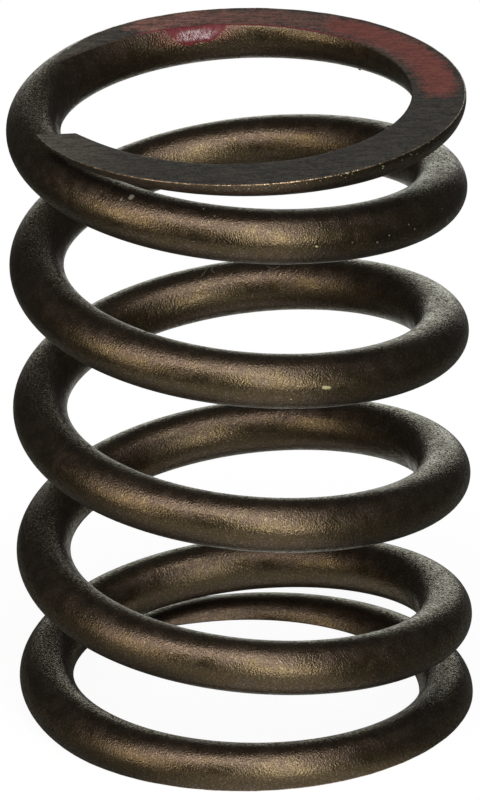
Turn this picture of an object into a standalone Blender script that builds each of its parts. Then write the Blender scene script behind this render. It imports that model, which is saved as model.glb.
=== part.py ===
"""Engine valve spring.

A left-hand compression spring, coiled from one length of round wire. The end turns are
closed down until each tip almost lies on the next turn. The wire is sheared off there,
and springs back a little. Both ends are then ground flat and square to the axis, which
leaves every wire end as a thin tapered tip.

The axis of the coil is Z. The seat end is ground at Z = 0, and the retainer end at the
free height. Run it with: blender --background --python part.py
"""

import math

import bmesh
import bpy

MM = 0.001

# Driving sizes
OUTER_DIAMETER = 31.75 * MM
WIRE_DIAMETER = 3.77 * MM
FREE_HEIGHT = 45.7 * MM
TOTAL_TURNS = 5.75

# Closed ends, alike at the seat and at the retainer
CLOSED_TURNS = 0.53  # from a tip to where the pitch starts to open
RAMP_TURNS = 0.85  # over which it opens to the pitch of the active turns
CLOSED_CLEARANCE = 0.20 * MM  # between an end turn and the turn that it closes on
TIP_THICKNESS = 0.50 * MM  # wire that grinding leaves at a tip
TIP_SPRINGBACK = 0.40 * MM  # by which a tip stands off from the closed helix
SPRINGBACK_TURNS = 0.06  # over which it does
SHEAR_SKEW = math.radians(24.0)  # of the cut from square to the wire, outer side longer
RETAINER_TIP_AZIMUTH = math.radians(208.5)  # from +X towards +Y

# Fineness of the surface
STEPS_PER_TURN = 48
WIRE_SIDES = 16

# The cutters reach this far past the wire, and the uncut wire this far past its ends
CUTTER_MARGIN = 5.0 * MM
STUB_LENGTH = 1.5 * MM
WELD_DISTANCE = 0.001 * MM

# Shot-peened spring steel under a dark bronze oxide
STEEL_COLOUR = (0.085, 0.060, 0.036, 1.0)
STEEL_METALLIC = 0.9
STEEL_ROUGHNESS = 0.42
SHARP_ANGLE = math.radians(40.0)

WIRE_RADIUS = WIRE_DIAMETER / 2
COIL_RADIUS = OUTER_DIAMETER / 2 - WIRE_RADIUS
TIP_OVERSHOOT = WIRE_RADIUS - TIP_THICKNESS  # of the wire's axis past the ground face
HELIX_OVERSHOOT = TIP_OVERSHOOT - TIP_SPRINGBACK  # of the closed helix, at the tip


def clear_scene():
    """Remove the objects that the scene starts with."""
    for item in list(bpy.data.objects):
        bpy.data.objects.remove(item, do_unlink=True)


def make_collection(name):
    """Return a new collection, linked to the scene."""
    collection = bpy.data.collections.new(name)
    bpy.context.scene.collection.children.link(collection)
    return collection


def make_steel():
    """Return the material of the wire."""
    steel = bpy.data.materials.new("spring_steel")
    steel.use_nodes = True
    shader = steel.node_tree.nodes["Principled BSDF"]
    shader.inputs["Base Color"].default_value = STEEL_COLOUR
    shader.inputs["Metallic"].default_value = STEEL_METALLIC
    shader.inputs["Roughness"].default_value = STEEL_ROUGHNESS
    steel.diffuse_color = STEEL_COLOUR
    return steel


def opened_turns(turns):
    """Return how far the opening of the pitch has run, this many turns from a tip.

    The opening is 0 along the closed turns, follows 3x^2 - 2x^3 on the ramp and is 1 on
    the active turns. This is the area under it.
    """
    share = min(max((turns - CLOSED_TURNS) / RAMP_TURNS, 0.0), 1.0)
    active = max(turns - CLOSED_TURNS - RAMP_TURNS, 0.0)
    return RAMP_TURNS * (share**3 - share**4 / 2) + active


def solve_pitches():
    """Return the closed pitch, and how much the pitch opens to the active turns.

    Two conditions fix them. After its first turn, the helix clears its own start. Over
    half of its turns, it rises by half of the free height and by its overshoot.
    """
    first_rise = WIRE_DIAMETER + CLOSED_CLEARANCE
    half_turns = TOTAL_TURNS / 2
    half_rise = FREE_HEIGHT / 2 + HELIX_OVERSHOOT
    opened_first = opened_turns(1.0)
    opened_half = opened_turns(half_turns)
    opening = (half_rise - first_rise * half_turns) / (opened_half - opened_first * half_turns)
    return first_rise - opening * opened_first, opening


def height_from_face(turns, closed_pitch, opening):
    """Return how far in from an end's ground face the axis lies, this many turns from its tip."""
    springback = TIP_SPRINGBACK * max(1 - turns / SPRINGBACK_TURNS, 0.0) ** 2
    return closed_pitch * turns + opening * opened_turns(turns) - HELIX_OVERSHOOT - springback


def wire_path():
    """Return the points of the wire's axis, with a stub to be sheared off at each end."""
    closed_pitch, opening = solve_pitches()
    stub_turns = STUB_LENGTH / (math.tau * COIL_RADIUS)
    length_turns = TOTAL_TURNS + 2 * stub_turns
    steps = round(length_turns * STEPS_PER_TURN)
    points = []
    for step in range(steps + 1):
        from_seat = length_turns * step / steps - stub_turns
        from_retainer = TOTAL_TURNS - from_seat
        height = height_from_face(min(from_seat, from_retainer), closed_pitch, opening)
        if from_retainer < from_seat:
            height = FREE_HEIGHT - height
        # A left-hand coil climbs clockwise, so it runs counterclockwise down from the retainer
        azimuth = RETAINER_TIP_AZIMUTH + from_retainer * math.tau
        points.append((COIL_RADIUS * math.cos(azimuth), COIL_RADIUS * math.sin(azimuth), height))
    return points


def make_wire_curve(points):
    """Return a round wire along the points, as a curve with filled caps."""
    curve = bpy.data.curves.new("wire", "CURVE")
    curve.dimensions = "3D"
    curve.twist_mode = "Z_UP"
    curve.bevel_depth = WIRE_RADIUS
    curve.bevel_resolution = WIRE_SIDES // 2 - 2
    curve.use_fill_caps = True
    spline = curve.splines.new("POLY")
    spline.points.add(len(points) - 1)
    for control, point in zip(spline.points, points):
        control.co = (*point, 1.0)
    wire = bpy.data.objects.new("wire", curve)
    bpy.context.scene.collection.objects.link(wire)
    return wire


def curve_to_mesh(curve_object, name, collection):
    """Return a closed mesh object in the place of a curve object."""
    depsgraph = bpy.context.evaluated_depsgraph_get()
    mesh = bpy.data.meshes.new_from_object(curve_object.evaluated_get(depsgraph))
    mesh.name = name
    shape = bmesh.new()
    shape.from_mesh(mesh)
    bmesh.ops.remove_doubles(shape, verts=shape.verts, dist=WELD_DISTANCE)
    shape.to_mesh(mesh)
    shape.free()
    made = bpy.data.objects.new(name, mesh)
    made.matrix_world = curve_object.matrix_world
    collection.objects.link(made)
    bpy.data.objects.remove(curve_object, do_unlink=True)
    return made


def make_cutter(name, size, centre, turn, collection):
    """Return a block that is this far turned about Z."""
    bpy.ops.mesh.primitive_cube_add(size=1.0, location=centre, rotation=(0.0, 0.0, turn))
    cutter = bpy.context.active_object
    cutter.name = name
    cutter.scale = size
    for holder in list(cutter.users_collection):
        holder.objects.unlink(cutter)
    collection.objects.link(cutter)
    cutter.hide_render = True
    cutter.display_type = "WIRE"
    return cutter


def make_shear_blade(name, azimuth, face_height, side, collection):
    """Return the block that shears the stub off at a tip, just above the turn beneath.

    The side is 1 at the retainer and -1 at the seat.
    """
    facing = azimuth - side * (math.pi / 2 + SHEAR_SKEW)
    length = STUB_LENGTH + CUTTER_MARGIN
    height = TIP_THICKNESS + CLOSED_CLEARANCE / 2 + CUTTER_MARGIN
    centre = (
        COIL_RADIUS * math.cos(azimuth) + length / 2 * math.cos(facing),
        COIL_RADIUS * math.sin(azimuth) + length / 2 * math.sin(facing),
        face_height + side * (CUTTER_MARGIN - height / 2),
    )
    return make_cutter(name, (length, 2 * WIRE_DIAMETER, height), centre, facing, collection)


def make_grinding_wheel(name, face_height, side, collection):
    """Return the block that lies on a ground face. The side is 1 at the retainer, -1 at the seat."""
    width = OUTER_DIAMETER + 2 * CUTTER_MARGIN
    depth = WIRE_DIAMETER + CUTTER_MARGIN
    centre = (0.0, 0.0, face_height + side * depth / 2)
    return make_cutter(name, (width, width, depth), centre, 0.0, collection)


def cut_away(spring, name, cutter):
    """Cut a block off the spring."""
    cut = spring.modifiers.new(name, "BOOLEAN")
    cut.operation = "DIFFERENCE"
    cut.solver = "EXACT"
    cut.object = cutter


def finish_end(spring, end, azimuth, face_height, side, cutters):
    """Shear off the wire at one end's tip and grind the end flat."""
    blade = make_shear_blade(f"{end}_shear_blade", azimuth, face_height, side, cutters)
    wheel = make_grinding_wheel(f"{end}_grinding_wheel", face_height, side, cutters)
    cut_away(spring, f"Shear {end} tip", blade)
    cut_away(spring, f"Grind {end} end", wheel)


def main():
    clear_scene()
    parts = make_collection("engine_valve_spring")
    cutters = make_collection("cutters")

    spring = curve_to_mesh(make_wire_curve(wire_path()), "valve_spring", parts)
    spring.data.materials.clear()
    spring.data.materials.append(make_steel())
    spring.data.shade_smooth()
    spring.data.set_sharp_from_angle(angle=SHARP_ANGLE)

    seat_tip_azimuth = RETAINER_TIP_AZIMUTH + TOTAL_TURNS * math.tau
    finish_end(spring, "seat", seat_tip_azimuth, 0.0, -1, cutters)
    finish_end(spring, "retainer", RETAINER_TIP_AZIMUTH, FREE_HEIGHT, 1, cutters)


main()
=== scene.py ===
"""Looks of the engine valve spring: its wire, its finishes, the specks on it and the studio."""

import math

import bmesh
import bpy
import numpy as np
from mathutils import Matrix, Vector


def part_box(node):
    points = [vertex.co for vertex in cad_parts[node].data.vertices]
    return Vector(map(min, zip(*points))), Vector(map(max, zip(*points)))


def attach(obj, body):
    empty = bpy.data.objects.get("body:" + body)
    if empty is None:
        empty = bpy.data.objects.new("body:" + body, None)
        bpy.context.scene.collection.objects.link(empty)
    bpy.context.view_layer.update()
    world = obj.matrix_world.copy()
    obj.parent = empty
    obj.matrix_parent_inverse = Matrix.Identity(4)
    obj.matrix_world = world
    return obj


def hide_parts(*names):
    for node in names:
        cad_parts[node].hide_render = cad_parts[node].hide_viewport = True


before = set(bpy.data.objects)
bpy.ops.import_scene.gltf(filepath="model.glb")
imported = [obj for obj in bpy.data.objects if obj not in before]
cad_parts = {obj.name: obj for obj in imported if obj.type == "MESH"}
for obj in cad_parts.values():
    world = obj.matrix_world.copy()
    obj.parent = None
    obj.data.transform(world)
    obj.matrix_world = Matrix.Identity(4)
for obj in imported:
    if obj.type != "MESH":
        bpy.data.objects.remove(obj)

bl_info = {
    "name": "Engine Valve Spring",
    "version": (1, 0, 0),
    "blender": (4, 5, 0),
    "location": "3D View > Sidebar > Valve Spring",
    "description": "Builds a peened, closed-and-ground valve spring and its studio",
    "category": "Add Mesh",
}

MM = 0.001
BODY = "root"
CAD_NODE = "valve_spring"

CAD_LOW, CAD_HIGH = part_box(CAD_NODE)


def length_setting(name, description, default):
    """Return a property that holds a length."""
    return bpy.props.FloatProperty(
        name=name, description=description, default=default, subtype="DISTANCE", unit="LENGTH"
    )


def angle_setting(name, description, default):
    """Return a property that holds an angle."""
    return bpy.props.FloatProperty(
        name=name, description=description, default=default, subtype="ANGLE", unit="ROTATION"
    )


def number_setting(name, description, default):
    """Return a property that holds a plain number."""
    return bpy.props.FloatProperty(name=name, description=description, default=default, min=0.0)


def share_setting(name, description, default):
    """Return a property that holds a share, from 0 to 1."""
    return bpy.props.FloatProperty(
        name=name, description=description, default=default, subtype="FACTOR", min=0.0, max=1.0
    )


def colour_setting(name, description, default):
    """Return a property that holds a colour."""
    return bpy.props.FloatVectorProperty(
        name=name, description=description, default=default, subtype="COLOR", min=0.0, max=1.0
    )


class WireSettings(bpy.types.PropertyGroup):
    """Sizes of the coiled wire."""

    outer_diameter: length_setting("Outer Diameter", "Across the outside of the coil", 31.75 * MM)
    wire_diameter: length_setting("Wire Diameter", "Of the round wire before grinding", 3.77 * MM)
    free_height: length_setting("Free Height", "Between the two ground faces", CAD_HIGH.z - CAD_LOW.z)
    turns: number_setting("Turns", "From tip to tip", 5.75)
    closed_turns: number_setting("Closed Turns", "From a tip to where the pitch starts to open", 0.53)
    ramp_turns: number_setting("Ramp Turns", "Over which the pitch opens", 0.85)
    closed_clearance: length_setting(
        "Closed Clearance", "Between an end turn and the turn that it closes on", 0.20 * MM
    )
    tip_thickness: length_setting("Tip Thickness", "Wire that grinding leaves at a tip", 0.50 * MM)
    tip_springback: length_setting(
        "Tip Springback", "By which a tip stands off from the closed helix", 0.40 * MM
    )
    springback_turns: number_setting("Springback Turns", "Over which the tip springs back", 0.06)
    shear_skew: angle_setting(
        "Shear Skew", "Of the cut wire end from square, outer side longer", math.radians(24.0)
    )
    retainer_tip_azimuth: angle_setting(
        "Retainer Tip Azimuth",
        "Place of the upper tip around the axis, from +X towards +Y",
        math.radians(208.5),
    )
    edge_width: length_setting(
        "Edge Width", "Of the worn edge and its burr around a ground face", 0.085 * MM
    )
    burr_height: length_setting(
        "Burr Height", "Of the burr that grinding leaves on the outer edge", 0.03 * MM
    )
    rings_per_turn: bpy.props.IntProperty(
        name="Rings per Turn",
        description="Fineness of the surface along the wire",
        default=176,
        min=24,
    )


class FinishSettings(bpy.types.PropertyGroup):
    """Colours of the steel, the paint and the dirt."""

    steel_colour: colour_setting("Steel Colour", "Bronze oxide on the peened wire", (0.086, 0.063, 0.041))
    ground_colour: colour_setting("Ground Colour", "Oxide on the ground faces", (0.027, 0.023, 0.018))
    burr_colour: colour_setting("Burr Colour", "Bare edge around a ground face", (0.44, 0.31, 0.195))
    worn_paint_colour: colour_setting(
        "Worn Paint Colour", "Dull red on the retainer face", (0.130, 0.034, 0.026)
    )
    faded_paint_colour: colour_setting(
        "Faded Paint Colour", "Rubbed, dusty red on the back of the retainer face", (0.124, 0.055, 0.043)
    )
    paint_colour: colour_setting(
        "Paint Colour", "Glossy red on the retainer end's inner edge", (0.11, 0.016, 0.019)
    )
    chip_colour: colour_setting("Chip Colour", "Pale chips that cling to the wire", (0.27, 0.24, 0.12))
    dust_colour: colour_setting(
        "Dust Colour", "Specks and lint that cling to the wire", (0.085, 0.078, 0.055)
    )


class StudioSettings(bpy.types.PropertyGroup):
    """Camera and lights of the studio."""

    camera_elevation: angle_setting(
        "Camera Elevation", "Angle at which the camera looks down", math.radians(24.18)
    )
    camera_roll: angle_setting(
        "Camera Roll", "Turn of the camera about its line of sight", math.radians(-1.04)
    )
    camera_distance: length_setting(
        "Camera Distance", "From the camera to the point that it looks at", 0.9732
    )
    camera_lens: number_setting("Camera Lens", "Focal length in millimetres on a 36 mm sensor", 630.4)
    box_strength: number_setting(
        "Soft Box Strength", "Brightness of a soft box with a share of 1, where 1 is white", 7.0
    )
    shadow_depth: share_setting(
        "Shadow Depth", "Share of the floor's brightness that a shadow takes away for the camera", 0.06
    )
    mirrored_shadow_depth: share_setting(
        "Mirrored Shadow Depth",
        "Share of the floor's brightness that a shadow takes away in a reflection",
        0.5,
    )
    surroundings: colour_setting("Surroundings", "The dim room beyond the lights", (0.028, 0.029, 0.028))
    ceiling: colour_setting("Ceiling", "The room above the lights", (0.145, 0.16, 0.135))


# How finely one section of the wire is divided
SIDE_STEPS = 18
FACE_STEPS = 12
EDGE_STEPS = 4
FREE_HALF_ANGLE = math.radians(36.0)  # of the rows above and below, on round wire
LEAST_HALF_ANGLE = math.radians(0.8)  # where a flat runs out
SPREAD_DEPTH = 0.5  # in wire radii past a flat, over which its rows spread out again

# The worn edge and the burr of a flat
EDGE_SHARE = 0.3  # of a flat's half width, as the most that its edge takes
LIP_LEAN = 0.6  # of the burr's height, by which it leans out
BURR_REACH = 0.97  # of the wire radius, within which a flat's plane leaves a bare edge
BURR_RISE = 0.1  # of the wire radius, as the cut at which a burr has its full height
BURR_SEED = 3
ROUGH_CYCLES = (23, 61, 140, 310)  # in a turn, of the waves that break up the burr

# Rings that stand closer together, in ring spacings from a flat's end and from a tip
FADE_RINGS = (-1.5, -0.6, -0.25, -0.08, 0.08)
TIP_RINGS = (0.1, 0.3, 0.6)
FADE_SEARCH_STEPS = 20000  # over half of the turns

# The rings lean with the sheared cut of a tip
SHEAR_REACH = 3  # in wire radii from the tip
LEAN_ROUNDS = 3  # in which they settle
SLOPE_STEP = 1e-5  # in turns, to either side of where the axis's slope is taken

WIRE, BURR = range(2)


class Coil:
    """The axis of the coiled wire, in turns from the seat end's tip."""

    def __init__(self, size):
        self.size = size
        self.wire_radius = size.wire_diameter / 2
        self.coil_radius = size.outer_diameter / 2 - self.wire_radius
        self.overshoot = self.wire_radius - size.tip_thickness - size.tip_springback
        self.closed_pitch, self.opening = self.solve_pitches()

    def opened_turns(self, turns):
        """Return how far the opening of the pitch has run, this many turns from a tip."""
        share = np.clip((turns - self.size.closed_turns) / self.size.ramp_turns, 0, 1)
        active = np.maximum(turns - self.size.closed_turns - self.size.ramp_turns, 0)
        return self.size.ramp_turns * (share**3 - share**4 / 2) + active

    def solve_pitches(self):
        """Return the closed pitch, and how much the pitch opens to the active turns."""
        first_rise = self.size.wire_diameter + self.size.closed_clearance
        half_turns = self.size.turns / 2
        half_rise = self.size.free_height / 2 + self.overshoot
        first = self.opened_turns(1.0)
        half = self.opened_turns(half_turns)
        opening = (half_rise - first_rise * half_turns) / (half - first * half_turns)
        return first_rise - opening * first, opening

    def height_from_face(self, turns):
        """Return how far in from an end's ground face the axis lies."""
        springback = np.maximum(1 - turns / self.size.springback_turns, 0) ** 2
        helix = self.closed_pitch * turns + self.opening * self.opened_turns(turns)
        return helix - self.overshoot - self.size.tip_springback * springback

    def height(self, turns):
        """Return the height of the axis."""
        from_retainer = self.size.turns - turns
        inward = self.height_from_face(np.minimum(turns, from_retainer))
        return np.where(from_retainer < turns, self.size.free_height - inward, inward)

    def azimuth(self, turns):
        """Return the place of the axis around Z. A left-hand coil climbs clockwise."""
        return self.size.retainer_tip_azimuth + (self.size.turns - turns) * math.tau

    def frame_at(self, turns):
        """Return the axis point, and the section's outward and upward directions."""
        azimuth = self.azimuth(turns)
        flat = np.zeros_like(azimuth)
        outward = np.stack([np.cos(azimuth), np.sin(azimuth), flat], axis=-1)
        point = self.coil_radius * outward
        point[..., 2] = self.height(turns)
        rise = self.height(turns + SLOPE_STEP) - self.height(turns - SLOPE_STEP)
        slope = rise / (2 * SLOPE_STEP) / (math.tau * self.coil_radius)
        tangent = np.stack([np.sin(azimuth), -np.cos(azimuth), slope], axis=-1)
        tangent /= np.linalg.norm(tangent, axis=-1, keepdims=True)
        upward = np.cross(outward, tangent)
        upward *= np.sign(upward[..., 2:])
        return point, outward, upward

    def face_depths(self, point, upward):
        """Return how far above and below the axis point its section meets the end faces."""
        top = (self.size.free_height - point[..., 2]) / upward[..., 2]
        return top, point[..., 2] / upward[..., 2]


def ring_stations(coil):
    """Return the turns at which the rings stand, closer together where a flat fades out."""
    size = coil.size
    count = round(size.turns * size.rings_per_turn)
    stations = [size.turns * step / count for step in range(count + 1)]
    spacing = size.turns / count
    for fade in fade_outs(coil):
        stations += [fade + spacing * offset for offset in FADE_RINGS]
    for tip, inward in ((0.0, 1), (size.turns, -1)):
        stations += [tip + inward * spacing * offset for offset in TIP_RINGS]
    return np.array(sorted(set(stations)))


def fade_outs(coil):
    """Return the turns at which the two ground flats run out."""
    turns = np.linspace(0, coil.size.turns / 2, FADE_SEARCH_STEPS + 1)
    point, _, upward = coil.frame_at(turns)
    _, depth = coil.face_depths(point, upward)
    inside = turns[depth >= coil.wire_radius]
    return float(inside[0]), coil.size.turns - float(inside[0])


def half_angle(coil, depth):
    """Return how far the rows of a face reach to each side, for the plane's distance."""
    ratio = depth / coil.wire_radius
    ground = np.arccos(np.clip(ratio, -1, 1))
    spread = np.clip((ratio - 1) / SPREAD_DEPTH, 0, 1)
    spread = spread**2 * (3 - 2 * spread)
    return np.maximum(ground, LEAST_HALF_ANGLE) + spread * FREE_HALF_ANGLE


def face_rows(coil, depth, burr):
    """Return (outward, upward) of the rows over one face, from its outer edge to its inner.

    The depth is the distance from the wire's axis to the grinding plane.
    """
    radius = coil.wire_radius
    angle = half_angle(coil, depth)
    corner = radius * np.sin(angle)
    ground = depth < radius
    level = np.where(ground, depth, radius * np.cos(angle))
    edge = np.minimum(coil.size.edge_width, corner * EDGE_SHARE)
    burr = burr * np.clip((1 - depth / radius) / BURR_RISE, 0, 1)
    bulge = np.where(ground, 1, 1 / np.cos(edge / radius))
    rows = []
    for side, lip in ((1, burr), (-1, 0.0)):
        start_angle = angle + edge / radius
        start = (radius * np.sin(start_angle), radius * np.cos(start_angle))
        middle = (corner * bulge + lip * LIP_LEAN, level * bulge + lip)
        end_across = corner - edge
        end_up = np.where(ground, depth, np.sqrt(np.maximum(radius**2 - end_across**2, 0)))
        edge_rows = []
        for step in range(EDGE_STEPS + 1):
            u = step / EDGE_STEPS
            across = (1 - u) ** 2 * start[0] + 2 * u * (1 - u) * middle[0] + u**2 * end_across
            up = (1 - u) ** 2 * start[1] + 2 * u * (1 - u) * middle[1] + u**2 * end_up
            edge_rows.append((side * across, up))
        if side == 1:
            rows += edge_rows
            reach = corner - edge
            for step in range(1, FACE_STEPS):
                across = reach * (1 - 2 * step / FACE_STEPS)
                round_up = np.sqrt(np.maximum(radius**2 - across**2, 0))
                rows.append((across, np.where(ground, depth, round_up)))
        else:
            rows += reversed(edge_rows)
    return rows, angle + edge / radius


def section_rows(coil, top_depth, bottom_depth, burr):
    """Return (outward, upward) of all rows around the wire, each as an array over the rings."""
    top, top_angle = face_rows(coil, top_depth, burr)
    bottom, bottom_angle = face_rows(coil, bottom_depth, burr)
    bottom = [(across, -up) for across, up in reversed(bottom)]
    rows = list(top)
    for side, first, last in ((-1, top_angle, bottom_angle), (1, bottom_angle, top_angle)):
        start = first if side == -1 else math.pi - first
        stop = math.pi - last if side == -1 else last
        for step in range(1, SIDE_STEPS):
            angle = start + (stop - start) * step / SIDE_STEPS
            rows.append((side * coil.wire_radius * np.sin(angle), coil.wire_radius * np.cos(angle)))
        if side == -1:
            rows += bottom
    return rows


def rough_line(turns, seed):
    """Return a broken line between 0 and 1 along the wire."""
    waves = np.zeros_like(turns)
    random = np.random.default_rng(seed)
    for cycles in ROUGH_CYCLES:
        waves += np.sin(math.tau * (cycles * turns + random.random())) / len(ROUGH_CYCLES)
    return np.clip(0.5 + waves, 0, 1)


def skewed_stations(coil, turns, across):
    """Return the stations of points this far across, where the cut ends lean the rings."""
    lean = math.tan(coil.size.shear_skew) * across / (math.tau * coil.coil_radius)
    reach = SHEAR_REACH * coil.wire_radius / (math.tau * coil.coil_radius)
    near_seat = np.clip(1 - turns / reach, 0, 1)
    near_retainer = np.clip(1 - (coil.size.turns - turns) / reach, 0, 1)
    return turns + lean * (near_retainer - near_seat)


def own_column(values, row):
    """Return a row's values over the rings, out of those of all rows or of one for all."""
    return values[:, min(row, values.shape[1] - 1)]


def wire_points(coil):
    """Return the points of the ground wire's surface, as rings of rows."""
    turns = ring_stations(coil)
    burr = coil.size.burr_height * rough_line(turns, BURR_SEED)[:, None]
    stations = turns[:, None]
    for _ in range(LEAN_ROUNDS):
        point, outward, upward = coil.frame_at(stations)
        rows = section_rows(coil, *coil.face_depths(point, upward), burr)
        across = np.stack([own_column(a, k) for k, (a, _) in enumerate(rows)], axis=1)
        up = np.stack([own_column(u, k) for k, (_, u) in enumerate(rows)], axis=1)
        stations = skewed_stations(coil, turns[:, None], across)
    return turns, point + outward * across[..., None] + upward * up[..., None]


def face_kinds(coil, turns, row_count):
    """Return the material of each quad between two rings, as [ring, row]."""
    point, _, upward = coil.frame_at(turns)
    kinds = np.full((len(turns) - 1, row_count), WIRE)
    bottom_stop = 2 * (2 * EDGE_STEPS + FACE_STEPS) + SIDE_STEPS
    firsts = (0, bottom_stop - EDGE_STEPS)
    for first, depth in zip(firsts, coil.face_depths(point, upward)):
        ground = np.maximum(depth[:-1], depth[1:]) < coil.wire_radius * BURR_REACH
        kinds[ground, first : first + EDGE_STEPS] = BURR
    return kinds


def build_wire(coil):
    """Return the mesh object of the whole wire."""
    turns, points = wire_points(coil)
    rings, rows = points.shape[:2]
    kinds = face_kinds(coil, turns, rows)
    mesh = bpy.data.meshes.new("peened_wire")
    index = np.arange(rings * rows).reshape(rings, rows)
    here, there = index[:-1], index[1:]
    quads = np.stack([here, np.roll(here, -1, 1), np.roll(there, -1, 1), there], axis=-1)
    quads = quads.reshape(-1, 4)
    faces = [list(map(int, quad)) for quad in quads]
    faces.append([int(i) for i in index[0][::-1]])
    faces.append([int(i) for i in index[-1]])
    mesh.from_pydata(points.reshape(-1, 3).tolist(), [], faces)
    materials = [int(kind) for kind in kinds.reshape(-1)] + [WIRE, WIRE]
    mesh.polygons.foreach_set("material_index", materials)
    mesh.update()
    outward_faces(mesh)
    mesh.shade_smooth()
    return link_object("peened_wire", mesh)


class NodeTree:
    """The nodes of a material or of the world, and the place that they work from."""

    def __init__(self, tree, place):
        self.nodes = tree.nodes
        self.links = tree.links
        self.coordinates = self.nodes.new("ShaderNodeTexCoord").outputs
        self.place = self.coordinates[place]

    def feed(self, socket, value):
        """Link a socket to another, or set its value. A colour comes without its alpha."""
        if isinstance(value, bpy.types.NodeSocket):
            self.links.new(value, socket)
        elif socket.type == "RGBA":
            socket.default_value = (*value, 1.0)
        else:
            socket.default_value = value

    def add(self, kind, *values):
        """Add a node and feed its first inputs."""
        node = self.nodes.new(kind)
        for socket, value in zip(node.inputs, values):
            self.feed(socket, value)
        return node

    def stretched(self, x, y, z):
        """Return the place, with each axis scaled."""
        mapping = self.add("ShaderNodeMapping", self.place)
        mapping.inputs["Scale"].default_value = (x, y, z)
        return mapping.outputs["Vector"]

    def noise(self, scale, detail, place=None, seed=0.0):
        """Return soft noise around 0.5. The seed picks another part of it."""
        noise = self.add("ShaderNodeTexNoise", place or self.place)
        noise.noise_dimensions = "4D"
        noise.inputs["W"].default_value = seed
        noise.inputs["Scale"].default_value = scale
        noise.inputs["Detail"].default_value = detail
        return noise.outputs["Fac"]

    def cells(self, scale):
        """Return the distance to the nearest of scattered points."""
        cells = self.add("ShaderNodeTexVoronoi", self.place)
        cells.inputs["Scale"].default_value = scale
        return cells.outputs["Distance"]

    def maths(self, operation, *values):
        """Return the result of a Math node."""
        node = self.add("ShaderNodeMath", *values)
        node.operation = operation
        return node.outputs[0]

    def vector_maths(self, operation, output, *vectors):
        """Return an output of a Vector Math node."""
        node = self.add("ShaderNodeVectorMath", *vectors)
        node.operation = operation
        return node.outputs[output]

    def axes(self, vector):
        """Return the X, Y and Z of a vector."""
        return self.add("ShaderNodeSeparateXYZ", vector).outputs

    def around_axis(self):
        """Return the azimuth from +X, the distance from the Z axis and the height."""
        x, y, z = self.axes(self.place)
        azimuth = self.maths("ARCTAN2", y, x)
        squares = self.maths("MULTIPLY_ADD", x, x, self.maths("MULTIPLY", y, y))
        return azimuth, self.maths("SQRT", squares), z

    def both(self, first, second):
        """Return the product of two shares."""
        return self.maths("MULTIPLY", first, second)

    def step(self, value, low, high, start=0.0, stop=1.0):
        """Return a smooth step from start to stop, as the value goes from low to high."""
        node = self.add("ShaderNodeMapRange", value, low, high, start, stop)
        node.interpolation_type = "SMOOTHSTEP"
        return node.outputs["Result"]

    def between(self, value, low, high, soft):
        """Return 1 from low to high and 0 beyond, with soft ends."""
        rise = self.step(value, low - soft, low + soft)
        fall = self.step(value, high - soft, high + soft, 1.0, 0.0)
        return self.both(rise, fall)

    def mix(self, kind, share, first, second):
        """Return a mix of two colours, of kind RGBA, or of two vectors, of kind VECTOR."""
        node = self.nodes.new("ShaderNodeMix")
        node.data_type = kind
        self.feed(node.inputs["Factor"], share)
        ends = [socket for socket in node.inputs if socket.type == kind][-2:]
        for socket, value in zip(ends, (first, second)):
            self.feed(socket, value)
        return next(socket for socket in node.outputs if socket.type == kind)

    def blend(self, share, first, second):
        """Return a mix of two colours."""
        return self.mix("RGBA", share, first, second)


class Finish(NodeTree):
    """A material being made, with its shader."""

    def __init__(self, name, colour, metallic, roughness):
        self.material = bpy.data.materials.new(name)
        self.material.use_nodes = True
        super().__init__(self.material.node_tree, "Object")
        self.facing = self.coordinates["Normal"]
        self.shader = self.nodes["Principled BSDF"]
        self.shade(Base_Color=colour, Metallic=metallic, Roughness=roughness)

    def shade(self, **values):
        """Link or set the shader's inputs, with _ for a space in their names."""
        for name, value in values.items():
            self.feed(self.shader.inputs[name.replace("_", " ")], value)

    def ragged(self, size, seed):
        """Return noise around 0 that makes an edge uneven."""
        return self.maths("SUBTRACT", self.noise(1 / size, 3.0, seed=seed), 0.5)

    def relief(self, height, depth, under=None):
        """Return the normal of a surface with this height, in units of depth."""
        bump = self.nodes.new("ShaderNodeBump")
        bump.inputs["Distance"].default_value = depth
        self.feed(bump.inputs["Height"], height)
        if under is not None:
            self.feed(bump.inputs["Normal"], under)
        return bump.outputs["Normal"]


def scaled(colour, factor):
    """Return a colour made darker or lighter."""
    return tuple(min(channel * factor, 1.0) for channel in colour)


def tinted(colour, tint):
    """Return a colour multiplied by another."""
    return tuple(channel * share for channel, share in zip(colour, tint))


def part_way(ends, share):
    """Return the value this share of the way from one end to the other."""
    return ends[0] + (ends[1] - ends[0]) * share


# Peened wire. Its tints, painted light, follow how far it faces up, from -1 to 1, and its patches
METAL = 0.95
PEENED_ROUGHNESS = 0.28
DULLED_ROUGHNESS = 0.38  # of the peened wire in patches
DUST_SHEEN = 0.02
PATCH_SIZE = 1.1 * MM
PATCH_SWAY = 1.4  # by which a patch adds to that
PAINTED_SIDE_TINT = (1.0, 0.99, 0.74)  # painted tint of the light where the wire faces sideways
PAINTED_SIDE_SLOPES = (0.4, 1.15)
PAINTED_SIDE_FADE = 0.2
PAINTED_TOP_TINT = (1.02, 0.985, 1.07)  # and where it faces up, also painted light
PAINTED_TOP_SLOPES = (1.15, 1.45)
GRAZING_TINT = (1.0, 0.98, 0.90)
DIMPLE_SIZE = 0.14 * MM  # of the marks that shot-peening leaves
DIMPLE_DEPTH = 0.014 * MM
GRAIN_SIZE = 0.10 * MM  # of the oxide
GRAIN_DEPTH = 0.015 * MM
GRAIN_SHADE = 0.6  # of the steel's colour
CRYSTAL_SIZE = 1.6 * GRAIN_SIZE
CRYSTAL_SHINE = 1.65  # of the steel's colour
CRYSTAL_GAPS = 0.35  # of the grazing tint

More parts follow.
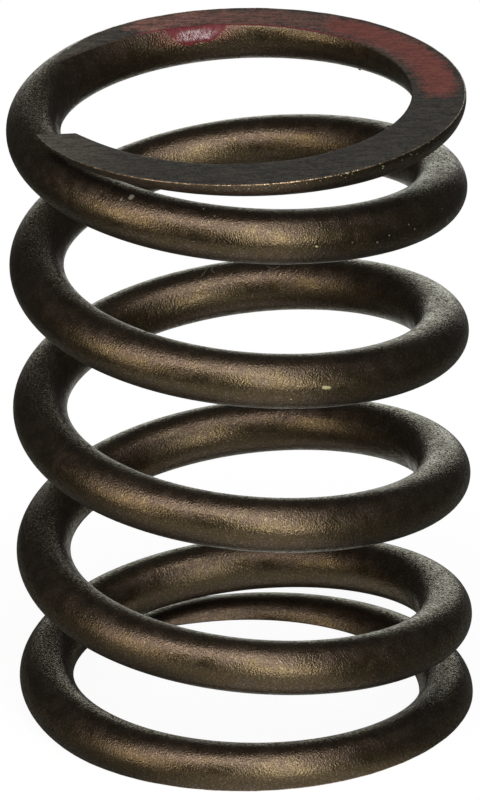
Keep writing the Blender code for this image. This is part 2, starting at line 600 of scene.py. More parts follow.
# Ground faces
GROUND_METAL = 0.25
GROUND_ROUGHNESS = 0.6
GROUND_GLINT = 0.1  # level of its specular reflection
PLAIN_GLINT = 0.5  # and that of the peened wire
GROUND_FADE = (0.004 * MM, 0.10 * MM)  # from an end face, where its finish fades out
STROKE_LENGTH = 1.3 * MM  # of the marks that grinding leaves along X
STROKE_WIDTH = 0.26 * MM
STROKE_DEPTH = 0.03 * MM
BARE_PALING = (-5 * MM, -15 * MM)  # along X, over which the bare face grows pale
FADED_PALING = (4 * MM, -9 * MM)  # and its faded paint

# The bare burr
BURR_ROUGHNESS = 0.32
BURR_BREAKS = 0.35 * MM
BURR_SHADE = 0.3  # of the burr's colour
BURR_GRAIN = 0.12 * MM
BURR_RELIEF = 0.06 * MM

# The red dab on the retainer face, and where it has faded, as azimuths from +X and radii
PAINT_AZIMUTHS = (math.radians(-3.5), math.radians(62.0))
PAINT_RADII = (12.9 * MM, 15.2 * MM)
FADED_AZIMUTHS = (math.radians(14.0), math.radians(121.0))
FADED_RADII = (12.5 * MM, 15.3 * MM)
PAINT_SOFTNESS = (math.radians(5.0), 0.8 * MM)  # around and across the face
PAINT_RAGGEDNESS = (0.2, 1.5 * MM)  # in radians around the face, and across it
PAINT_GRAIN = 0.9 * MM
PAINT_LEVELS = (1 * MM, 2 * MM)  # heights over which it starts, clear of the seat face

# The stain of thin paint on the bore wall around the run
STAIN_AZIMUTHS = (math.radians(90.0), math.radians(117.0))
STAIN_DEPTH = 1.4 * MM
STAIN_RADII = (13.3 * MM, 13.6 * MM)  # over which it ends, away from the bore
STAIN_RAGGEDNESS = (0.25, 0.8 * MM)  # in radians around the wall, and up it
STAIN_GRAIN = 0.5 * MM
STAIN_SHARE = 0.35
STAIN_COLOUR = (0.10, 0.016, 0.026)

# The run of thick paint
PAINT_ROUGHNESS = (0.5, 0.14)  # where it is thin, and where it is thickest
PAINT_GLINT = (0.15, 0.8)
GLOSS_AZIMUTHS = (math.radians(94.0), math.radians(110.0))
GLOSS_HEIGHTS = (0.15 * MM, 0.95 * MM)  # beneath the retainer face
GLOSS_SOFTNESS = (math.radians(6.0), 0.3 * MM)
GLOSS_GRAIN = 0.4 * MM
RIPPLE_SCALES = (6250.0, 6250.0, 1500.0)  # ripples a metre along X, Y and Z
RIPPLE_DEPTH = 0.07 * MM
RIPPLE_SHADE = 0.6  # of the paint's colour

DUST_ROUGHNESS = 0.8  # of chips, specks and lint too


def peened_look(finish, steel):
    """Return the colour, roughness, tint at grazing angles and normal of round, peened wire."""
    grain = finish.noise(1 / GRAIN_SIZE, 1.0)
    patches = finish.noise(1 / PATCH_SIZE, 4.0, seed=1.0)
    # Painted light: the steel is tinted by how far it faces up, swayed by random patches
    slope = finish.maths("MULTIPLY_ADD", patches, PATCH_SWAY, finish.axes(finish.facing)[2])
    sideways = finish.between(slope, *PAINTED_SIDE_SLOPES, PAINTED_SIDE_FADE)
    tone = finish.blend(sideways, steel, tinted(steel, PAINTED_SIDE_TINT))
    tone = finish.blend(finish.step(slope, *PAINTED_TOP_SLOPES), tone, tinted(steel, PAINTED_TOP_TINT))
    tone = finish.blend(finish.step(grain, 0.3, 0.6), scaled(steel, GRAIN_SHADE), tone)
    crystals = finish.noise(1 / CRYSTAL_SIZE, 1.0, seed=4.0)
    tone = finish.blend(finish.step(crystals, 0.52, 0.75), tone, scaled(steel, CRYSTAL_SHINE))
    gaps = scaled(GRAZING_TINT, CRYSTAL_GAPS)
    edge = finish.blend(finish.step(crystals, 0.35, 0.55), gaps, GRAZING_TINT)
    roughness = finish.step(patches, 0.4, 0.6, PEENED_ROUGHNESS, DULLED_ROUGHNESS)
    normal = finish.relief(finish.cells(1 / DIMPLE_SIZE), DIMPLE_DEPTH)
    return tone, roughness, edge, finish.relief(grain, GRAIN_DEPTH, normal)


def ground_look(finish, colours):
    """Return the colour and the normal of a ground face, with the grinding strokes along X."""
    place = finish.stretched(1 / STROKE_LENGTH, 1 / STROKE_WIDTH, 1 / STROKE_WIDTH)
    strokes = finish.noise(1.0, 3.0, place)
    grain = finish.noise(1 / (2 * GRAIN_SIZE), 2.0, seed=2.0)
    marks = finish.maths("MULTIPLY_ADD", grain, 0.5, finish.maths("MULTIPLY", strokes, 0.5))
    shade = finish.step(marks, 0.38, 0.62)
    looks = []
    for colour, darkest, lightest in (
        (colours.ground_colour, 0.4, 1.6),
        (colours.ground_colour, 1.4, 3.3),
        (colours.worn_paint_colour, 0.7, 1.3),
        (colours.faded_paint_colour, 0.4, 1.15),
        (colours.faded_paint_colour, 0.75, 2.0),
    ):
        looks.append(finish.blend(shade, scaled(colour, darkest), scaled(colour, lightest)))
    bare, pale_bare, red, faded, pale_faded = looks
    x = finish.axes(finish.place)[0]
    bare = finish.blend(finish.step(x, *BARE_PALING), bare, pale_bare)
    faded = finish.blend(finish.step(x, *FADED_PALING), faded, pale_faded)
    red_cover, faded_cover = paint_covers(finish, marks)
    colour = finish.blend(faded_cover, bare, faded)
    colour = finish.blend(red_cover, colour, red)
    return colour, finish.relief(marks, STROKE_DEPTH)


def paint_covers(finish, marks):
    """Return how far the red and the faded paint cover the retainer face, from 0 to 1."""
    azimuth, radius, height = finish.around_axis()
    ragged = finish.ragged(PAINT_GRAIN, 7.0)
    azimuth = finish.maths("MULTIPLY_ADD", ragged, PAINT_RAGGEDNESS[0], azimuth)
    radius = finish.maths("MULTIPLY_ADD", ragged, PAINT_RAGGEDNESS[1], radius)
    worn = finish.noise(1 / PAINT_GRAIN, 4.0, seed=9.0)
    on_top = finish.step(height, *PAINT_LEVELS)
    covers = []
    for azimuths, radii, least, most in (
        (PAINT_AZIMUTHS, PAINT_RADII, 0.75, 1.0),
        (FADED_AZIMUTHS, FADED_RADII, 0.5, 0.95),
    ):
        within = finish.both(
            finish.between(azimuth, *azimuths, PAINT_SOFTNESS[0]),
            finish.between(radius, *radii, PAINT_SOFTNESS[1]),
        )
        rubbed = finish.step(worn, 0.3, 0.62, least, 1.0)
        cover = finish.maths("MULTIPLY_ADD", marks, 0.5, finish.both(within, rubbed))
        covers.append(finish.both(finish.step(cover, 0.35, 1.1, 0.0, most), on_top))
    return covers


def paint_stain(finish, free_height):
    """Return how far thin paint stains the bore wall around the run, from 0 to 1."""
    azimuth, radius, height = finish.around_axis()
    ragged = finish.ragged(STAIN_GRAIN, 12.0)
    azimuth = finish.maths("MULTIPLY_ADD", ragged, STAIN_RAGGEDNESS[0], azimuth)
    height = finish.maths("MULTIPLY_ADD", ragged, STAIN_RAGGEDNESS[1], height)
    beside = finish.between(azimuth, *STAIN_AZIMUTHS, PAINT_SOFTNESS[0])
    above = finish.step(height, free_height - STAIN_DEPTH, free_height - 0.5 * STAIN_DEPTH)
    inside = finish.step(radius, *STAIN_RADII, STAIN_SHARE, 0.0)
    return finish.both(finish.both(beside, above), inside)


def spring_steel(colours, free_height):
    """Return the finish of the wire: peened, but ground where it lies in an end face."""
    finish = Finish("spring_steel", colours.steel_colour, METAL, PEENED_ROUGHNESS)
    height = finish.axes(finish.place)[2]
    low, high = GROUND_FADE
    ground = finish.maths(
        "MAXIMUM",
        finish.step(height, free_height - high, free_height - low),
        finish.step(height, low, high, 1.0, 0.0),
    )
    peened_colour, roughness, edge_tint, peened_normal = peened_look(finish, colours.steel_colour)
    stain = paint_stain(finish, free_height)
    peened_colour = finish.blend(stain, peened_colour, STAIN_COLOUR)
    ground_colour, ground_normal = ground_look(finish, colours)
    finish.shade(
        Base_Color=finish.blend(ground, peened_colour, ground_colour),
        Metallic=finish.step(ground, 0.0, 1.0, METAL, GROUND_METAL),
        Roughness=finish.step(ground, 0.0, 1.0, roughness, GROUND_ROUGHNESS),
        Specular_IOR_Level=finish.step(ground, 0.0, 1.0, PLAIN_GLINT, GROUND_GLINT),
        Specular_Tint=edge_tint,
        Sheen_Weight=DUST_SHEEN,
        Normal=finish.mix("VECTOR", ground, peened_normal, ground_normal),
    )
    return finish.material


def burr_steel(colours):
    """Return the finish of the bare burr around a ground face."""
    finish = Finish("burr_steel", colours.burr_colour, 1.0, BURR_ROUGHNESS)
    broken = finish.step(finish.noise(1 / BURR_BREAKS, 3.0), 0.42, 0.62)
    dark = scaled(colours.burr_colour, BURR_SHADE)
    grain = finish.noise(1 / BURR_GRAIN, 1.0)
    finish.shade(
        Base_Color=finish.blend(broken, dark, colours.burr_colour),
        Normal=finish.relief(grain, BURR_RELIEF),
    )
    return finish.material


def red_paint(colours, free_height):
    """Return the finish of the paint that still lies thick, glossy where it is thickest."""
    finish = Finish("red_paint", colours.paint_colour, 0.0, PAINT_ROUGHNESS[0])
    ripple = finish.noise(1.0, 2.0, finish.stretched(*RIPPLE_SCALES))
    dark = scaled(colours.paint_colour, RIPPLE_SHADE)
    azimuth, _, height = finish.around_axis()
    below = finish.maths("SUBTRACT", free_height, height)
    thick = finish.both(
        finish.between(azimuth, *GLOSS_AZIMUTHS, GLOSS_SOFTNESS[0]),
        finish.between(below, *GLOSS_HEIGHTS, GLOSS_SOFTNESS[1]),
    )
    uneven = finish.noise(1 / GLOSS_GRAIN, 2.0, seed=14.0)
    thick = finish.step(finish.both(thick, uneven), 0.1, 0.6)
    finish.shade(
        Base_Color=finish.blend(finish.step(ripple, 0.35, 0.6), dark, colours.paint_colour),
        Roughness=finish.step(thick, 0.0, 1.0, *PAINT_ROUGHNESS),
        Specular_IOR_Level=finish.step(thick, 0.0, 1.0, *PAINT_GLINT),
        Normal=finish.relief(ripple, RIPPLE_DEPTH),
    )
    return finish.material


def dust(name, colour):
    """Return the finish of chips, specks or lint."""
    return Finish(name, colour, 0.0, DUST_ROUGHNESS).material


def link_object(name, data):
    """Return a new object of a mesh, lamp or camera, linked to the scene."""
    made = bpy.data.objects.new(name, data)
    bpy.context.scene.collection.objects.link(made)
    return made


def dress(piece, *finishes):
    """Give a piece its finishes and let it ride on the spring."""
    for finish in finishes:
        piece.data.materials.append(finish)
    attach(piece, BODY)


def surface_point(coil, turns, angle, lift=0.0):
    """Return a point over the round wire, and the way out of it.

    The angle goes from the top of the section towards the outside of the coil. On a ground
    end it is as if the wire were whole.
    """
    point, outward, upward = coil.frame_at(np.asarray(turns, dtype=float))
    angle = np.asarray(angle, dtype=float)[..., None]
    normal = outward * np.sin(angle) + upward * np.cos(angle)
    return point + normal * (coil.wire_radius + np.asarray(lift))[..., None], normal


# Paint that pooled along the inner edge and ran down the bore wall, as azimuths from +X
DAB_AZIMUTHS = (math.radians(47.0), math.radians(122.0))
RUN_AZIMUTHS = (math.radians(92.5), math.radians(112.0))
RUN_LENGTH = 1.15 * MM  # down the wall, in the middle of the run
POOL_LENGTH = 0.04 * MM  # down the wall, elsewhere
FACE_LAP = 0.11 * MM  # onto the retainer face
PAINT_FILM = 0.022 * MM  # thickness
PAINT_ROOT = 0.05 * MM  # by which the film's underside lies within the steel
FILM_BORDER = 0.2  # of the film's width, over which it rises
FILM_SINK = 0.2  # of its thickness, by which its rim lies within the steel
DAB_TAPER = 0.05  # radians over which it thins out at either end
DAB_COLUMNS = 260
DAB_ROWS = 23
DAB_UNEVENNESS = (0.75, 1.25)  # of its length down the wall
DAB_WAVES = 0.12  # of the burr's cycles in a turn, for slower waves
DAB_SEED = 11


def dab_turns(coil, azimuth):
    """Return the turns, from the seat's tip, where the last turn passes this azimuth."""
    from_tip = (azimuth - coil.size.retainer_tip_azimuth) / math.tau
    return coil.size.turns - from_tip % 1.0


def build_paint_dab(coil):
    """Return the run of thick paint as a closed mesh."""
    azimuth = np.linspace(*DAB_AZIMUTHS, DAB_COLUMNS)[:, None]
    share = np.linspace(0, 1, DAB_ROWS)[None]
    turns = dab_turns(coil, azimuth)
    middle = sum(RUN_AZIMUTHS) / 2
    half = (RUN_AZIMUTHS[1] - RUN_AZIMUTHS[0]) / 2
    lobe = np.clip(1 - ((azimuth - middle) / half) ** 2, 0, 1) ** 0.5
    uneven = part_way(DAB_UNEVENNESS, rough_line(turns * DAB_WAVES, DAB_SEED))
    reach = (POOL_LENGTH + RUN_LENGTH * lobe) * uneven
    ends = np.clip(np.minimum(azimuth - azimuth[0], azimuth[-1] - azimuth) / DAB_TAPER, 0, 1)
    border = np.clip(np.minimum(share, 1 - share) / FILM_BORDER, 0, 1) * ends
    point, outward, upward = coil.frame_at(turns)
    depth, _ = coil.face_depths(point, upward)
    edge = np.arccos(np.clip(depth / coil.wire_radius, -1, 1))
    travel = share * (reach + FACE_LAP) - FACE_LAP
    angle = -(edge + np.maximum(travel, 0) / coil.wire_radius)
    on_wall = travel > 0
    film = PAINT_FILM * ((1 + FILM_SINK) * border - FILM_SINK)
    sheets = []
    for lift in (film, np.full_like(travel, -PAINT_ROOT)):
        place, _ = surface_point(coil, turns, angle, np.where(on_wall, lift, 0.0))
        place += outward * np.maximum(-travel, 0)[..., None]
        place[..., 2] += np.where(on_wall, 0.0, lift)
        sheets.append(place)
    return link_object("paint_dab", closed_sheet("paint_dab", *sheets))


def closed_sheet(name, top, bottom):
    """Return the mesh of a sheet between two grids of points, with its rim closed."""
    columns, rows = top.shape[:2]
    index = np.arange(columns * rows).reshape(columns, rows)
    under = index + columns * rows
    faces = []
    for column in range(columns - 1):
        for row in range(rows - 1):
            corners = [(column, row), (column, row + 1), (column + 1, row + 1), (column + 1, row)]
            faces.append([int(index[corner]) for corner in corners])
            faces.append([int(under[corner]) for corner in reversed(corners)])
    rim = [(c, 0) for c in range(columns)] + [(columns - 1, r) for r in range(1, rows)]
    rim += [(c, rows - 1) for c in range(columns - 2, -1, -1)]
    rim += [(0, r) for r in range(rows - 2, 0, -1)]
    for here, there in zip(rim, rim[1:] + rim[:1]):
        faces.append([int(index[here]), int(index[there]), int(under[there]), int(under[here])])
    mesh = bpy.data.meshes.new(name)
    points = np.concatenate([top.reshape(-1, 3), bottom.reshape(-1, 3)])
    mesh.from_pydata(points.tolist(), [], faces)
    outward_faces(mesh)
    mesh.shade_smooth()
    return mesh


def outward_faces(mesh):
    """Turn the faces of a closed mesh outwards."""
    shape = bmesh.new()
    shape.from_mesh(mesh)
    bmesh.ops.recalc_face_normals(shape, faces=shape.faces)
    shape.to_mesh(mesh)
    shape.free()


# What clings to the wire where the eye can find it. Each place is given as turns from the
# seat's tip, as the angle on the section in degrees and as a size or a lift in millimetres.
CHIPS = (
    (3.520, 82, 0.76),
    (3.544, 107, 0.16),
    (4.525, 90, 0.26),
)
FLECKS = (
    (4.662, 26, 0.52),
    (4.668, 38, 0.36),
    (4.607, 14, 0.17),
    (4.598, 30, 0.15),
    (4.498, 89, 0.14),
    (4.477, 98, 0.16),
    (4.467, 88, 0.16),
    (4.442, 90, 0.15),
    (4.448, 76, 0.13),
    (4.398, 105, 0.15),
    (5.497, 102, 0.14),
    (5.559, 112, 0.15),
    (5.192, 204, 0.28),
    (5.232, 204, 0.20),
    (1.655, 39, 0.16),
)
LINT = (
    ((3.049, -28, 0.03), (3.053, -19, 0.08), (3.056, -9, 0.10)),
    ((3.061, -26, 0.03), (3.059, -18, 0.08), (3.060, -9, 0.12)),
    ((3.105, -26, 0.06), (3.108, -32, 0.10), (3.112, -37, 0.10), (3.117, -28, 0.06)),
    (
        (2.121, -40, 0.05),
        (2.122, -51, 0.08),
        (2.118, -60, 0.06),
        (2.114, -69, 0.04),
        (2.111, -70, 0.04),
        (2.110, -62, 0.06),
        (2.111, -52, 0.08),
        (2.109, -44, 0.03),
    ),
)
LINT_RADIUS = 0.022 * MM
LINT_SIDES = 5
SPECK_SEED = 5
SPECK_LIFT = 0.1  # of its size
SPECK_UNEVENNESS = 0.35
SPECK_WIDTHS = (0.7, 1.3)  # of the width that is asked for
SPECK_FLATNESS = 0.4
CHIP_NARROWING = 0.45
CHIP_LEAN = -0.2
FLECK_NARROWING = 0.7
FLECK_LEAN = 40  # radians a turn, so that each lies another way
DUST_NARROWING = 0.8

# Dust, strewn about the front of each turn and about an angle on the section
SCATTERED_SPECKS = 80
SPECK_SIZES = (0.03 * MM, 0.10 * MM)
SPECK_TURN = 0.45
SPECK_TURN_SPREAD = 0.16
SPECK_ANGLE = math.radians(85.0)
SPECK_ANGLE_SPREAD = math.radians(32.0)
STREWN_TURNS = (1, 5)  # from the first up to, and without, the last

# Crumbs just under the retainer face's outer edge, at the front right
EDGE_CRUMBS = 22
CRUMB_TURNS = (5.42, 5.58)
CRUMB_SIZES = (0.07 * MM, 0.18 * MM)
CRUMB_DROP = 0.25  # radians on the section, as the most beneath the edge

PALE, DUSTY = range(2)


def rim_angle(coil, turns):
    """Return the angle on the section at which the retainer face ends."""
    point, _, upward = coil.frame_at(np.asarray(turns, dtype=float))
    depth, _ = coil.face_depths(point, upward)
    return float(np.arccos(depth / coil.wire_radius))


def add_speck(shape, random, coil, turns, angle, size, narrow, leaning):
    """Add a flat, uneven grain on the wire, leaning this far from level."""
    place, normal = surface_point(coil, turns, angle, size * SPECK_LIFT)
    grain = bmesh.ops.create_icosphere(shape, subdivisions=2, radius=size / 2)["verts"]
    for vertex in grain:
        vertex.co *= 1 + SPECK_UNEVENNESS * (random.random() - 0.5)
    width = narrow * part_way(SPECK_WIDTHS, random.random())
    stretch = Matrix.Diagonal((1.0, width, SPECK_FLATNESS))
    spin = Matrix.Rotation(leaning, 3, "Z")
    aim = Vector(normal).to_track_quat("Z", "Y").to_matrix()
    turned = (aim @ spin @ stretch).to_4x4()
    bmesh.ops.transform(shape, verts=grain, matrix=Matrix.Translation(Vector(place)) @ turned)


def add_lint(shape, coil, fibre):
    """Add a fibre through these places, as a thin closed tube."""
    turns, angle, lift = np.array(fibre, dtype=float).T
    points, _ = surface_point(coil, turns, np.radians(angle), lift * MM)
    along = np.gradient(points, axis=0)
    rings = []
    for point, direction in zip(points, along):
        turned = Vector(direction).to_track_quat("Z", "Y")
        ring = []
        for side in range(LINT_SIDES):
            spoke = Vector((LINT_RADIUS, 0, 0))
            spoke.rotate(Matrix.Rotation(side * math.tau / LINT_SIDES, 3, "Z"))
            ring.append(shape.verts.new(Vector(point) + turned @ spoke))
        rings.append(ring)
    for here, there in zip(rings, rings[1:]):
        for side in range(LINT_SIDES):
            after = (side + 1) % LINT_SIDES
            shape.faces.new((here[side], here[after], there[after], there[side]))
    shape.faces.new(rings[0][::-1])
    shape.faces.new(rings[-1])


def build_specks(coil):
    """Return the chips, flecks, lint, dust and crumbs that cling to the wire, as one mesh.

    The dust is strewn evenly over the turns. The crumbs and the chips are pale.
    """
    random = np.random.default_rng(SPECK_SEED)
    mesh = bpy.data.meshes.new("specks")
    shape = bmesh.new()
    for turns, angle, size in CHIPS:
        angle = math.radians(angle)
        add_speck(shape, random, coil, turns, angle, size * MM, CHIP_NARROWING, CHIP_LEAN)
    first_dusty = len(shape.faces)
    for turns, angle, size in FLECKS:
        angle = math.radians(angle)
        lean = turns * FLECK_LEAN
        add_speck(shape, random, coil, turns, angle, size * MM, FLECK_NARROWING, lean)
    for fibre in LINT:
        add_lint(shape, coil, fibre)
    for _ in range(SCATTERED_SPECKS):
        turns = random.integers(*STREWN_TURNS) + SPECK_TURN + SPECK_TURN_SPREAD * random.normal()
        angle = SPECK_ANGLE + SPECK_ANGLE_SPREAD * random.normal()
        size = part_way(SPECK_SIZES, random.random() ** 3)
        lean = random.random() * math.tau
        add_speck(shape, random, coil, turns, angle, size, DUST_NARROWING, lean)
    first_crumb = len(shape.faces)
    for _ in range(EDGE_CRUMBS):
        turns = part_way(CRUMB_TURNS, random.random())
        angle = rim_angle(coil, turns) + CRUMB_DROP * random.random()
        size = part_way(CRUMB_SIZES, random.random() ** 2)
        lean = random.random() * math.tau
        add_speck(shape, random, coil, turns, angle, size, DUST_NARROWING, lean)
    shape.faces.ensure_lookup_table()
    for face in shape.faces[first_dusty:first_crumb]:
        face.material_index = DUSTY
    shape.to_mesh(mesh)
    shape.free()
    mesh.shade_smooth()
    return link_object("dust_specks", mesh)


class VALVE_SPRING_OT_coil_wire(bpy.types.Operator):
    """Coil, close, shear and grind the wire"""

    bl_idname = "valve_spring.coil_wire"
    bl_label = "Coil Wire"

    def execute(self, context):
        colours = context.scene.valve_spring_finish
        size = context.scene.valve_spring_wire
        wire = build_wire(Coil(size))
        dress(wire, spring_steel(colours, size.free_height), burr_steel(colours))
        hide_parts(CAD_NODE)
        return {"FINISHED"}


class VALVE_SPRING_OT_dab_paint(bpy.types.Operator):
    """Add the red paint that lies thick on the retainer end's inner edge"""

    bl_idname = "valve_spring.dab_paint"
    bl_label = "Dab Paint"

    def execute(self, context):
        colours = context.scene.valve_spring_finish
        size = context.scene.valve_spring_wire
        dress(build_paint_dab(Coil(size)), red_paint(colours, size.free_height))
        return {"FINISHED"}


class VALVE_SPRING_OT_scatter_dust(bpy.types.Operator):
    """Add the chips, flecks, lint, dust and crumbs that cling to the wire"""

    bl_idname = "valve_spring.scatter_dust"
    bl_label = "Scatter Dust"

    def execute(self, context):
        colours = context.scene.valve_spring_finish
        specks = build_specks(Coil(context.scene.valve_spring_wire))
        dress(specks, dust("pale_chips", colours.chip_colour), dust("dust", colours.dust_colour))
        return {"FINISHED"}


LAMP_DISTANCE = 600 * MM
LAMP_AIM = Vector((0, 0, 23 * MM))

# Each soft box: how far right of the camera and above level it stands, how wide and high it
# looks, all in degrees from the spring, its share of the full strength and its colour
SOFT_BOXES = (
    ("left_box", -33, 50, 22, 26, 0.76, (1, 0.95, 0.99)),
    ("left_strip", -53, 20, 23, 42, 0.68, (1, 0.93, 0.84)),
    ("right_box", 20, 38, 21, 30, 1.02, (1, 1, 1)),
    ("right_strip", 21, 9, 21, 26, 1.2, (1, 1, 1)),
    ("right_fill", 80, 20, 60, 60, 0.006, (1, 1, 1)),
    ("top_box", 5, 58, 42, 18, 0.42, (1, 1, 1)),
    ("high_box", 45, 71, 14, 14, 1.0, (1, 1, 1)),
    ("back_box", 178, 5, 30, 20, 0.2, (0.80, 0.96, 1)),
)


def towards(azimuth, elevation):
    """Return the direction at this angle right of the camera and this angle up."""
    level = Vector((math.sin(azimuth), -math.cos(azimuth), 0)) * math.cos(elevation)
    return level + Vector((0, 0, math.sin(elevation)))


def add_soft_box(name, azimuth, elevation, wide, high, strength, colour):
    """Add a soft box that faces the spring, with its angles in degrees."""
    direction = towards(math.radians(azimuth), math.radians(elevation))
    data = bpy.data.lights.new(name, "AREA")
    data.shape = "RECTANGLE"
    data.size = 2 * LAMP_DISTANCE * math.tan(math.radians(wide / 2))
    data.size_y = 2 * LAMP_DISTANCE * math.tan(math.radians(high / 2))
    # An area light of pi watts a square metre is as bright as white
    data.energy = strength * math.pi * data.size * data.size_y
    data.color = colour
    lamp = link_object(name, data)
    lamp.location = LAMP_AIM + direction * LAMP_DISTANCE
    lamp.rotation_euler = direction.to_track_quat("Z", "Y").to_euler()


FLOOR_WIDTH = 120 * MM
FLOOR_LENGTH = 200 * MM
LIT_POOL_EDGES = (-4 * MM, 10 * MM)  # of the painted pool of light that the steel mirrors, along X
LIT_POOL_FADE = 5 * MM
LIT_POOL_FLARE = 0.65  # to the right, by the distance from where the flare starts
FLARE_START = 16 * MM  # before the spring's axis
PAINTED_SHADE_FADE = (-38 * MM, -8 * MM)  # along Y, over which the painted half shade left of the pool ends
HALF_SHADE = 0.6  # of the strip's white
SHADOW_RADII = (20 * MM, 45 * MM)  # where the shadow fades out for the camera
PAPER_COLOUR = (0.95, 0.95, 0.95)
# Painted shade: the floor beyond the pool of light, dark as the steel sees it
PAINTED_SHADE_COLOUR = (0.13, 0.135, 0.13)
# Painted reflection: the pool's white as the steel mirrors it
PAINTED_POOL_WHITE = (0.94, 1.0, 1.06)


def floor_with_painted_light(studio):
    """Return the material of the floor, with light and shade painted on it for the steel.

    The camera sees all of it white, but for what the spring's shadow darkens. The steel
    mirrors a painted pool of light as white, painted half shade left of it and painted
    shade, dark, over the rest.
    """
    floor = Finish("white_floor", PAPER_COLOUR, 0.0, 1.0)
    x, y, _ = floor.axes(floor.place)
    # Painted pool of light, which the steel mirrors as white, flaring out to the right in front
    before = floor.maths("MAXIMUM", floor.maths("SUBTRACT", -FLARE_START, y), 0.0)
    across = floor.maths("MULTIPLY_ADD", before, -LIT_POOL_FLARE, x)
    left, right = LIT_POOL_EDGES
    strip = floor.both(
        floor.step(x, left - LIT_POOL_FADE, left + LIT_POOL_FADE),
        floor.step(across, right - LIT_POOL_FADE, right + LIT_POOL_FADE, 1.0, 0.0),
    )
    # Painted half shade on the floor left of the pool, as the steel mirrors it
    shaded = floor.both(
        floor.step(y, *PAINTED_SHADE_FADE, HALF_SHADE, 0.0),
        floor.step(x, left - LIT_POOL_FADE, left + LIT_POOL_FADE, 1.0, 0.0),
    )
    strip = floor.maths("ADD", strip, shaded)
    _, radius, _ = floor.around_axis()
    shadow = floor.step(radius, *SHADOW_RADII, studio.shadow_depth, 0.0)
    path = floor.add("ShaderNodeLightPath").outputs
    camera = path["Is Camera Ray"]
    mirrored = floor.maths("MAXIMUM", path["Is Glossy Ray"], path["Is Transmission Ray"])
    # The painted pool glows in the steel's reflections, and the camera sees white but for the shadow
    share = floor.maths(
        "MULTIPLY_ADD",
        floor.both(mirrored, strip),
        1 - studio.mirrored_shadow_depth,
        floor.both(camera, floor.maths("SUBTRACT", 1.0, shadow)),
    )
    # Beyond the pool, painted shade: dark for all rays but the camera's
    colour = floor.blend(floor.maths("MAXIMUM", strip, camera), PAINTED_SHADE_COLOUR, PAPER_COLOUR)
    paper = floor.add("ShaderNodeBsdfDiffuse", colour)
    white = floor.add("ShaderNodeEmission", floor.blend(camera, PAINTED_POOL_WHITE, (1, 1, 1)))
    mix = floor.add("ShaderNodeMixShader", share, paper.outputs[0], white.outputs[0])
    floor.feed(floor.nodes["Material Output"].inputs["Surface"], mix.outputs[0])
    return floor.material


def add_floor(studio):
    """Add the floor that the spring stands on."""
    x, y = FLOOR_WIDTH / 2, FLOOR_LENGTH / 2
    mesh = bpy.data.meshes.new("floor")
    mesh.from_pydata([(-x, -y, 0), (x, -y, 0), (x, y, 0), (-x, y, 0)], [], [(0, 1, 2, 3)])
    floor = link_object("floor", mesh)
    floor.data.materials.append(floor_with_painted_light(studio))


BACKDROP_CORE = math.radians(14.0)  # from its centre, where the backdrop is plain white
BACKDROP_EDGE = math.radians(23.0)  # where it has faded into the surroundings
BACKDROP_SQUEEZE = 0.95  # its width as a share of its height
BACKDROP_AZIMUTH = math.radians(179.0)
BACKDROP_HEIGHT = math.radians(-1.0)
CEILING_RISE = 4.0  # power of the height, out of 1 straight up, by which the ceiling pales


def set_world(studio):
    """Light the world as a dim room, with a paler ceiling and a white backdrop.

    The camera sees the backdrop's white all round, so that it looks the same from each side.
    """
    world = bpy.data.worlds.new("studio")
    world.use_nodes = True
    room = NodeTree(world.node_tree, "Generated")
    squeezed = room.stretched(1.0, 1.0, BACKDROP_SQUEEZE)
    direction = room.vector_maths("NORMALIZE", "Vector", squeezed)
    centre = towards(BACKDROP_AZIMUTH, BACKDROP_HEIGHT)
    facing = room.vector_maths("DOT_PRODUCT", "Value", direction, centre)
    backdrop = room.step(facing, math.cos(BACKDROP_EDGE), math.cos(BACKDROP_CORE))
    camera = room.add("ShaderNodeLightPath").outputs["Is Camera Ray"]
    white = room.maths("MAXIMUM", backdrop, camera)
    upward = room.maths("MAXIMUM", room.axes(room.place)[2], 0.0)
    rise = room.maths("POWER", upward, CEILING_RISE)
    dim = room.blend(rise, studio.surroundings, studio.ceiling)
    room.feed(room.nodes["Background"].inputs["Color"], room.blend(white, dim, (1, 1, 1)))
    bpy.context.scene.world = world


CAMERA_AIM = Vector((0, 0, 23.1 * MM))
CAMERA_SHIFT = Vector((-0.081 * MM, -0.427 * MM, 0))  # to its right, up and back
SENSOR_WIDTH = 36.0  # millimetres
CLIP_DISTANCES = (0.01, 10.0)  # metres


def add_camera(studio):
    """Add the camera at the photograph's angle."""
    elevation = studio.camera_elevation
    forward = Vector((0, math.cos(elevation), -math.sin(elevation)))
    up = Vector((0, math.sin(elevation), math.cos(elevation)))
    data = bpy.data.cameras.new("camera")
    data.lens = studio.camera_lens
    data.sensor_width = SENSOR_WIDTH
    data.clip_start, data.clip_end = CLIP_DISTANCES
    roll = Matrix.Rotation(-studio.camera_roll, 3, forward)
    axes = roll @ Matrix((forward.cross(up), up, -forward)).transposed()
    place = CAMERA_AIM + axes @ CAMERA_SHIFT - forward * studio.camera_distance
    camera = link_object("camera", data)
    camera.matrix_world = Matrix.LocRotScale(place, axes, None)
    bpy.context.scene.camera = camera


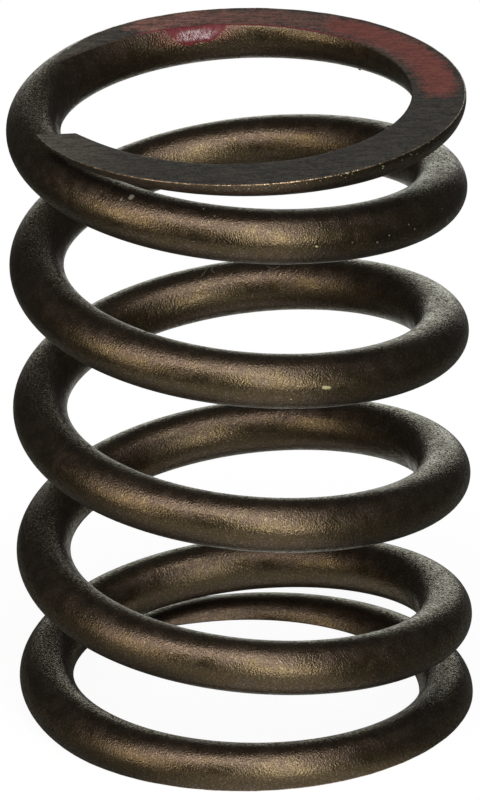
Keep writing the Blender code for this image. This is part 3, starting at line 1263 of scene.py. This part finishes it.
class VALVE_SPRING_OT_set_stage(bpy.types.Operator):
    """Add the floor, the lights and the camera"""

    bl_idname = "valve_spring.set_stage"
    bl_label = "Set Stage"

    def execute(self, context):
        studio = context.scene.valve_spring_studio
        add_camera(studio)
        add_floor(studio)
        set_world(studio)
        for name, *angles, share, colour in SOFT_BOXES:
            add_soft_box(name, *angles, studio.box_strength * share, colour)
        context.scene.view_settings.view_transform = "Standard"
        return {"FINISHED"}


class VALVE_SPRING_PT_panel(bpy.types.Panel):
    """Lists the settings of the spring and its studio, and the steps that build them"""

    bl_idname = "VALVE_SPRING_PT_panel"
    bl_label = "Valve Spring"
    bl_space_type = "VIEW_3D"
    bl_region_type = "UI"
    bl_category = "Valve Spring"

    def draw(self, context):
        for group, settings in SETTINGS.items():
            for name in settings.__annotations__:
                self.layout.prop(getattr(context.scene, group), name)
        for operator in OPERATORS:
            self.layout.operator(operator.bl_idname)


SETTINGS = {
    "valve_spring_wire": WireSettings,
    "valve_spring_finish": FinishSettings,
    "valve_spring_studio": StudioSettings,
}
OPERATORS = (
    VALVE_SPRING_OT_coil_wire,
    VALVE_SPRING_OT_dab_paint,
    VALVE_SPRING_OT_scatter_dust,
    VALVE_SPRING_OT_set_stage,
)


def register():
    for settings in SETTINGS.values():
        bpy.utils.register_class(settings)
    for name, settings in SETTINGS.items():
        setattr(bpy.types.Scene, name, bpy.props.PointerProperty(type=settings))
    for operator in OPERATORS:
        bpy.utils.register_class(operator)
    bpy.utils.register_class(VALVE_SPRING_PT_panel)


def unregister():
    bpy.utils.unregister_class(VALVE_SPRING_PT_panel)
    for operator in reversed(OPERATORS):
        bpy.utils.unregister_class(operator)
    for name, settings in SETTINGS.items():
        delattr(bpy.types.Scene, name)
        bpy.utils.unregister_class(settings)


def main():
    register()
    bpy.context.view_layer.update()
    bpy.ops.valve_spring.coil_wire()
    bpy.ops.valve_spring.dab_paint()
    bpy.ops.valve_spring.scatter_dust()
    bpy.ops.valve_spring.set_stage()


if __name__ == "__main__":
    main()
